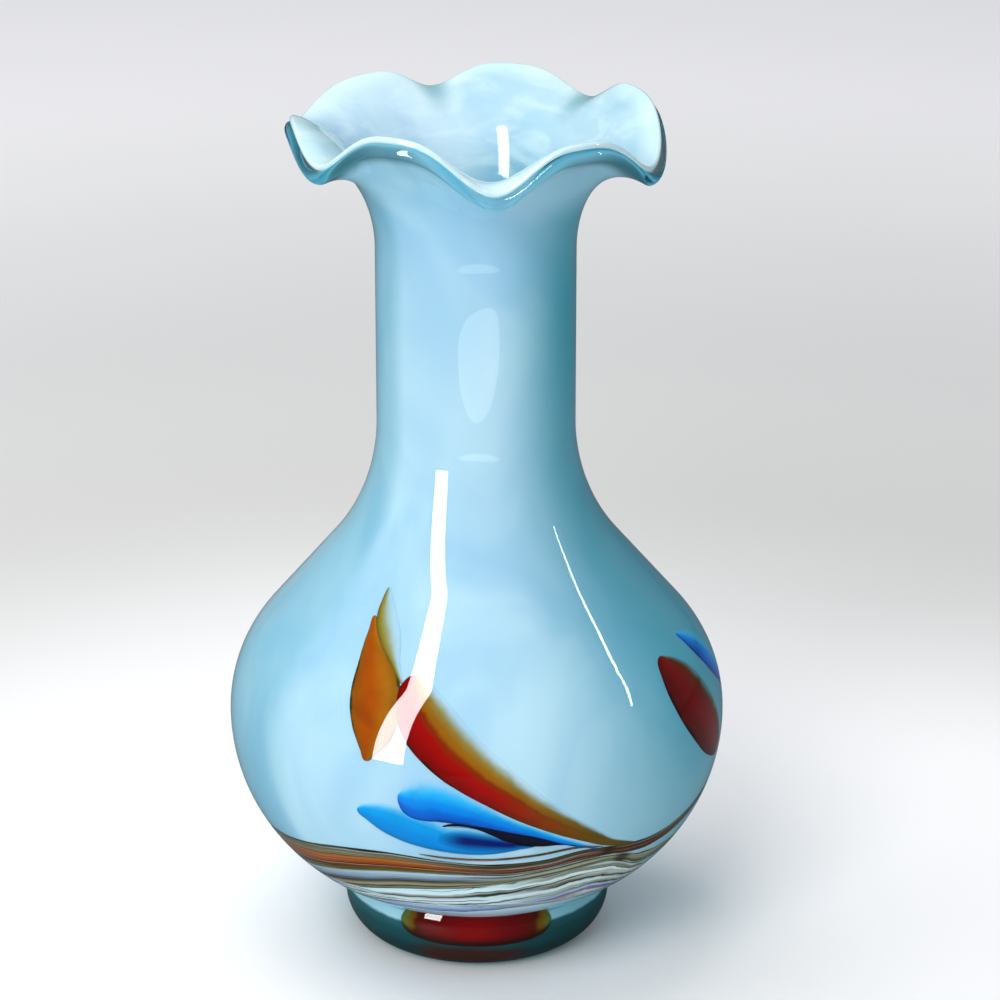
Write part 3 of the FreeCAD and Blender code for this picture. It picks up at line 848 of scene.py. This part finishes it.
# Each bit: CAD node, material slot, what bit_glass is told, and its ribbons as stations of
# azimuth, mm along the meridian from the widest circle, and half width. The crisp side is on
# the left of the run.
BITS = [
    ("amber_leaf", "amber_glass",
     dict(stops=AMBER_STOPS, feather=0.0, mottling=0.5), [
         [(-116.5, 10.0, 0), (-116.0, 13.5, 3.2), (-115.6, 19, 6.6), (-116.2, 26, 8.2),
          (-118.0, 33, 7.6), (-121.0, 41, 5.2), (-124.6, 48.5, 2.3), (-127.2, 54, 0)]]),
    ("olive_leaf_tip", "olive_glass",
     dict(stops=OLIVE_STOPS, soft=0.25, feather=1.0, mottling=0.2), [
         [(-110.5, 35.0, 0), (-114.4, 41.5, 1.6), (-118.2, 48, 3.4), (-122.0, 54, 3.4),
          (-124.6, 59.5, 1.8), (-126.0, 63.5, 0)]]),
    ("red_amber_trail", "red_glass",
     dict(stops=RED_STOPS, soft=0.74, mottling=0.35, tail=(0.56, (0.16, 0.075, 0.004))), [
         [(-46.5, -25, 0), (-56, -20.5, 1.6), (-62.5, -15.5, 2.7), (-70, -9.5, 3.9),
          (-77, -3.5, 5.2), (-83.5, 2.8, 6.6), (-90, 9.3, 7.8), (-96.5, 16.5, 8.6),
          (-102, 24, 8.6), (-106, 32, 6.2), (-107.8, 38.5, 0)]]),
    ("blue_leaf_upper", "cobalt_glass",
     dict(stops=COBALT_STOPS, soft=0.66, feather=0.8, mottling=0.3), [
         [(-57.5, -23, 0), (-66, -18, 1.0), (-74, -13, 1.9), (-82, -8.2, 3.0),
          (-90, -3.6, 4.6), (-98, -0.4, 6.6), (-103.8, -0.2, 6.8), (-108.2, 0.8, 0)]]),
    ("blue_leaf_lower", "sky_blue_glass",
     dict(stops=SKY_STOPS, soft=0.84, feather=0.6, mottling=0.25, second=(0.0, 0.008, 0.15)), [
         [(-73.5, -15.5, 0), (-80, -15.2, 2.2), (-88, -14.6, 4.2), (-96, -13.2, 5.0),
          (-104, -10.4, 5.8), (-110, -8.0, 5.4), (-115, -6.4, 3.4), (-118.5, -6.3, 0)],
         [(-76, -16.2, 0), (-81, -15.2, 2.2), (-87, -14.0, 4.0), (-94, -12.8, 4.4),
          (-101, -11.6, 0)]]),
    ("dark_streak", "black_glass",
     dict(stops=BLACK_STOPS, feather=0.0, mottling=0.0), [
         [(-66, -18.6, 0), (-71, -16.6, 0.5), (-75, -15.2, 1.5), (-78.5, -14.0, 2.1),
          (-82.5, -12.2, 2.0), (-86, -10.2, 1.3), (-90, -8.4, 0.6), (-95, -7.6, 0.4),
          (-100, -9.0, 0)]]),
    ("red_oval", "red_glass",
     dict(stops=OVAL_STOPS, soft=0.85, feather=0.6, mottling=0.4), [
         [(-11.5, -8.5, 0), (-15, -3.5, 6.0), (-20, 4, 9.0), (-25, 13.5, 10.0),
          (-28.5, 22, 8.6), (-31, 29, 4.6), (-31.8, 32.5, 0)]]),
    ("blue_oval", "cobalt_glass",
     dict(stops=COBALT_STOPS, soft=0.55, feather=0.85, mottling=0.6), [
         [(2, 6, 0), (-1.5, 12, 4.0), (-5.5, 19, 5.8), (-10.5, 26.5, 5.0), (-15, 32, 2.4),
          (-17.5, 34.5, 0)]]),
    ("back_red_trail", "red_glass",
     dict(stops=RED_STOPS, soft=0.74, mottling=0.35, tail=(0.35, (0.13, 0.065, 0.004))), [
         [(132, -20, 0), (124, -15, 2.2), (114, -6, 4.2), (104, 3, 6.0), (95, 12, 7.2),
          (86, 21, 7.0), (79, 29, 4.5), (76.5, 33, 0)]]),
    ("back_amber_leaf", "amber_glass",
     dict(stops=AMBER_STOPS, feather=0.3, mottling=0.5), [
         [(150, 2, 0), (151, 8, 4.6), (150, 17, 7.2), (148, 27, 7.0), (144.5, 37, 4.2),
          (142, 46, 0)]]),
    ("back_blue_leaf", "cobalt_glass",
     dict(stops=COBALT_STOPS, soft=0.55, feather=0.9, mottling=0.6), [
         [(68, -14, 0), (62, -11, 3.0), (54, -5, 5.0), (45, 1, 5.8), (37, 6, 4.6),
          (33, 8, 0)]]),
]

# The drawn-out threads round the lower body, from the back round the left, past the front and
# up the right, pinched together at one place. Stations as above; the left of the run is up.
BROWN_BANDS = [
    [(-262, -34, 0), (-235, -33, 2.0), (-205, -35, 3.4), (-175, -37, 5.0), (-152, -36, 6.4),
     (-138, -33.0, 6.4), (-125, -28.5, 5.8), (-112, -25.2, 4.6), (-98, -25.1, 3.2),
     (-90, -25.8, 2.9), (-82, -26.1, 3.0), (-73, -25.2, 2.5), (-65, -23.7, 2.4),
     (-58, -24.0, 2.0), (-54, -24.8, 1.8), (-49, -26.0, 2.2), (-40, -27, 2.4),
     (-28, -25, 2.2), (-12, -19, 1.8), (8, -12, 1.4), (30, -8, 0.9), (50, -7, 0)],
    [(-104, -19.6, 0), (-95, -20.6, 0.35), (-86, -21.0, 0.4), (-76, -20.4, 0.4),
     (-66, -19.6, 0.4), (-58, -21.6, 0)],
]
OLIVE_BANDS = [
    [(-235, -50, 0), (-205, -51, 2.4), (-175, -51, 3.6), (-150, -47.9, 4.8),
     (-132, -41.6, 5.6), (-112, -33.8, 4.9), (-99, -31.8, 4.2), (-90, -31.2, 3.4),
     (-82, -30.6, 2.4), (-73.5, -29.2, 2.1), (-65, -27.9, 2.1), (-58, -27.6, 1.8),
     (-54, -28.3, 1.5), (-48, -31.0, 2.2), (-41, -34.5, 3.2), (-31, -35.5, 2.8),
     (-15, -34, 2.0), (10, -32, 1.3), (40, -32, 0)],
]
PALE_BANDS = [
    [(-190, -58, 0), (-165, -58, 2.6), (-148, -56.5, 4.2), (-132, -52.5, 6.4),
     (-112, -47.6, 9.3), (-99, -45.8, 10.2), (-90, -44.9, 10.8), (-82, -43.2, 11.0),
     (-73.5, -41.6, 10.8), (-65, -39.8, 10.4), (-58, -38.6, 9.6), (-52, -40.2, 8.6),
     (-44, -44.2, 7.4), (-34, -47, 6.0), (-15, -48, 4.0), (10, -47, 2.5), (30, -47, 0)],
    [(190, -47, 0), (215, -47, 2.0), (240, -46, 2.8), (270, -47, 2.4), (300, -49, 2.0),
     (325, -50, 0)],
]
BROWN_LEFT = [
    (0.02, (0.02, 0.016, 0.008)), (0.07, (0.15, 0.11, 0.06)), (0.24, (0.24, 0.15, 0.07)),
    (0.38, (0.52, 0.11, 0.006)), (0.55, (0.34, 0.05, 0.002)), (0.70, (0.15, 0.05, 0.006)),
    (0.84, (0.16, 0.14, 0.02)), (0.94, (0.02, 0.016, 0.006)), (0.98, (0.60, 0.62, 0.58)),
]
BROWN_RIGHT = [
    (0.02, (0.03, 0.022, 0.01)), (0.10, (0.12, 0.08, 0.025)), (0.30, (0.07, 0.018, 0.002)),
    (0.55, (0.20, 0.04, 0.002)), (0.75, (0.045, 0.012, 0.002)), (0.88, (0.11, 0.07, 0.02)),
    (0.94, (0.02, 0.015, 0.008)), (0.98, (0.60, 0.60, 0.56)),
]
OLIVE_LEFT = [
    (0.0, (0.70, 0.76, 0.80)), (0.10, (0.40, 0.44, 0.56)), (0.34, (0.24, 0.26, 0.34)),
    (0.46, (0.03, 0.022, 0.016)), (0.53, (0.22, 0.15, 0.07)), (0.64, (0.44, 0.33, 0.17)),
    (0.76, (0.05, 0.035, 0.02)), (0.84, (0.36, 0.31, 0.22)), (0.95, (0.02, 0.016, 0.012)),
]
OLIVE_RIGHT = [
    (0.0, (0.70, 0.72, 0.72)), (0.12, (0.07, 0.05, 0.03)), (0.3, (0.42, 0.34, 0.20)),
    (0.52, (0.30, 0.22, 0.11)), (0.68, (0.03, 0.02, 0.012)), (0.80, (0.42, 0.37, 0.28)),
    (0.95, (0.03, 0.022, 0.016)),
]
PALE_LEFT = [
    (0.0, (0.80, 0.86, 0.92)), (0.14, (0.94, 0.96, 0.98)), (0.22, (0.34, 0.30, 0.24)),
    (0.26, (0.02, 0.014, 0.008)), (0.30, (0.90, 0.92, 0.94)), (0.46, (0.95, 0.97, 1.0)),
    (0.52, (0.02, 0.014, 0.010)), (0.56, (0.92, 0.94, 0.98)), (0.68, (0.52, 0.56, 0.90)),
    (0.76, (0.24, 0.32, 0.76)), (0.84, (0.90, 0.92, 0.98)), (1.0, (0.74, 0.84, 0.94)),
]
PALE_RIGHT = [
    (0.0, (0.70, 0.70, 0.68)), (0.07, (0.26, 0.19, 0.11)), (0.14, (0.90, 0.92, 0.93)),
    (0.28, (0.46, 0.40, 0.30)), (0.34, (0.02, 0.014, 0.008)), (0.39, (0.90, 0.93, 0.95)),
    (0.52, (0.38, 0.33, 0.27)), (0.57, (0.02, 0.014, 0.010)), (0.62, (0.92, 0.94, 0.98)),
    (0.74, (0.10, 0.13, 0.50)), (0.82, (0.74, 0.30, 0.22)), (0.91, (0.84, 0.88, 0.96)),
]
BANDS = [
    ("brown_trail_upper", "brown_glass", BROWN_BANDS,
     dict(stops=BROWN_LEFT, later=BROWN_RIGHT, switch=(0.34, 0.46), knot=0.64, threads=20.0)),
    ("brown_trail_lower", "olive_glass", OLIVE_BANDS,
     dict(stops=OLIVE_LEFT, later=OLIVE_RIGHT, switch=(0.34, 0.52), knot=0.70, threads=16.0)),
    ("pale_trail", "lavender_glass", PALE_BANDS,
     dict(stops=PALE_LEFT, later=PALE_RIGHT, switch=(0.40, 0.56), knot=-1.0, threads=14.0)),
]

def make_bits():
    for node, slot, looks, lines in BITS:
        base_lift = LIFT_STEP if node == "dark_streak" else 0.0
        ribbons = []
        for number, line in enumerate(lines):
            lift = base_lift + 0.5 * LIFT_STEP * number
            ribbons.append(ribbon(line, BIT_THICKNESS - 0.5 * lift, 1.0, lift=lift))
        piece = ribbon_piece(node + "_glass", ribbons)
        finish_piece(piece, node, slot, bit_glass(node + "_look", **looks))


def make_bands():
    for node, slot, lines, looks in BANDS:
        ribbons = [ribbon(line, BAND_THICKNESS, 0.6, count=300, across=36) for line in lines]
        piece = ribbon_piece(node + "_glass", ribbons)
        finish_piece(piece, node, slot, drawn_bands(node + "_look", **looks))


# ------------------------------------------------------------------ stage, light and camera

VASE_MIDDLE = (0, 0, 0.12)
CAMERA_PLACE = (0, -1.1767, 0.5739)
CAMERA_LENS = 148.6
CAMERA_TILT = 20.2
CAMERA_TURN = -0.351
GAP_ROLL = -26


def area_light(name, place, target, size, power, mirrored):
    """A soft panel. One that is mirrored shows in the glass and lights nothing else; any other
    lights the vase and doesn't show in the glass."""
    data = bpy.data.lights.new(name, "AREA")
    data.shape = "RECTANGLE"
    data.size, data.size_y = size
    data.energy = power
    lamp = bpy.data.objects.new(name, data)
    lamp.location = place
    lamp.rotation_euler = (Vector(target) - Vector(place)).to_track_quat("-Z", "Y").to_euler()
    lamp.visible_glossy = mirrored
    lamp.visible_transmission = mirrored
    lamp.visible_diffuse = not mirrored
    lamp.visible_camera = False
    bpy.context.scene.collection.objects.link(lamp)
    return lamp


def make_stage():
    """Round white floor with a greyer band of painted shade some way out from the vase. Rays
    that the glass mirrors or bends find it darker than the camera does."""
    count, reach = 96, 5.0
    radii = [0.0005, 0.1, 0.3, 0.6, 1.2, 2.5, reach]
    points = []
    for radius in radii:
        for i in range(count):
            a = 2 * math.pi * i / count
            points.append((radius / MM * math.cos(a), radius / MM * math.sin(a), -0.02))
    # without the last face, which would close the disc across its outer edge
    floor = new_mesh("floor", points, tube_faces(len(radii), count)[:-1])
    tree = Tree("white_board")
    x, y, _ = tree.parts(tree.place())
    squares = tree.math("ADD", tree.math("MULTIPLY", x, x), tree.math("MULTIPLY", y, y))
    away = tree.math("MULTIPLY", tree.math("SQRT", squares), 0.5)
    grain = tree.noise(tree.stretched((4, 4, 4)), 1.0, 2.0)
    away = tree.math("MULTIPLY_ADD", tree.math("SUBTRACT", grain, 0.5), 0.03, away)
    # Painted shade: a greyer band about half a metre out from the vase.
    paper_with_painted_shade = tree.ramp(
        away,
        [
            (0.0, (0.97, 0.96, 0.96)),
            (0.09, (0.95, 0.94, 0.94)),
            (0.2, (0.68, 0.68, 0.66)),
            (0.27, (0.70, 0.70, 0.69)),
            (0.55, (0.98, 0.97, 0.98)),
        ],
    )
    path = tree.nodes.new("ShaderNodeLightPath")
    through = tree.math("MULTIPLY", path.outputs["Is Transmission Ray"], 0.8)
    in_glass = tree.math("MAXIMUM", path.outputs["Is Glossy Ray"], through)
    tree.surface(tree.mix(in_glass, paper_with_painted_shade, (0.12, 0.14, 0.15)), 0.6, 0.2)
    floor.data.materials.append(tree.material)


def make_world():
    """Even grey surroundings, darker where the glass mirrors them."""
    world = bpy.data.worlds.new("studio")
    bpy.context.scene.world = world
    world.use_nodes = True
    nodes, links = world.node_tree.nodes, world.node_tree.links
    background = nodes["Background"]
    seen = nodes.new("ShaderNodeLightPath")
    shade = nodes.new("ShaderNodeMix")
    shade.data_type = "RGBA"
    shade.inputs[6].default_value = (0.47, 0.48, 0.50, 1)
    shade.inputs[7].default_value = (0.10, 0.12, 0.13, 1)
    links.new(seen.outputs["Is Glossy Ray"], shade.inputs[0])
    links.new(shade.outputs[2], background.inputs["Color"])
    background.inputs["Strength"].default_value = 1.0


def make_light():
    """Two soft lights, and what the glass mirrors: a tall window, a glow and a thin gap."""
    area_light("front_soft", (-0.6, -1.4, 1.3), VASE_MIDDLE, (0.9, 0.9), 20, False)
    area_light("top_soft", (-0.5, 0.2, 1.8), VASE_MIDDLE, (1.4, 1.4), 16.5, False)
    area_light("window", (-0.29, -0.385, 0.575), (0, 0, 0.575), (0.115, 0.95), 6.5, True)
    place, target = (0.03, -0.493, 0.042), (0.03, -0.641, 1.02)
    glow = area_light("glow", place, target, (0.40, 0.28), 0.55, True)
    glow.data.shape = "ELLIPSE"
    gap = area_light("thin_gap", (0.765, -0.065, 0.545), VASE_MIDDLE, (0.02, 0.40), 0.5, True)
    gap.rotation_euler.rotate_axis("Z", math.radians(GAP_ROLL))


def make_camera():
    data = bpy.data.cameras.new("camera")
    data.sensor_width = 36.0
    data.lens = CAMERA_LENS
    camera = bpy.data.objects.new("camera", data)
    camera.location = CAMERA_PLACE
    camera.rotation_euler = (math.radians(90 - CAMERA_TILT), 0, math.radians(CAMERA_TURN))
    bpy.context.scene.collection.objects.link(camera)
    bpy.context.scene.camera = camera


bpy.context.scene.view_settings.view_transform = "Standard"
make_lining()
make_casing()
make_foot()
make_foot_core()
make_foot_patch()
make_bits()
make_bands()
make_stage()
make_world()
make_light()
make_camera()
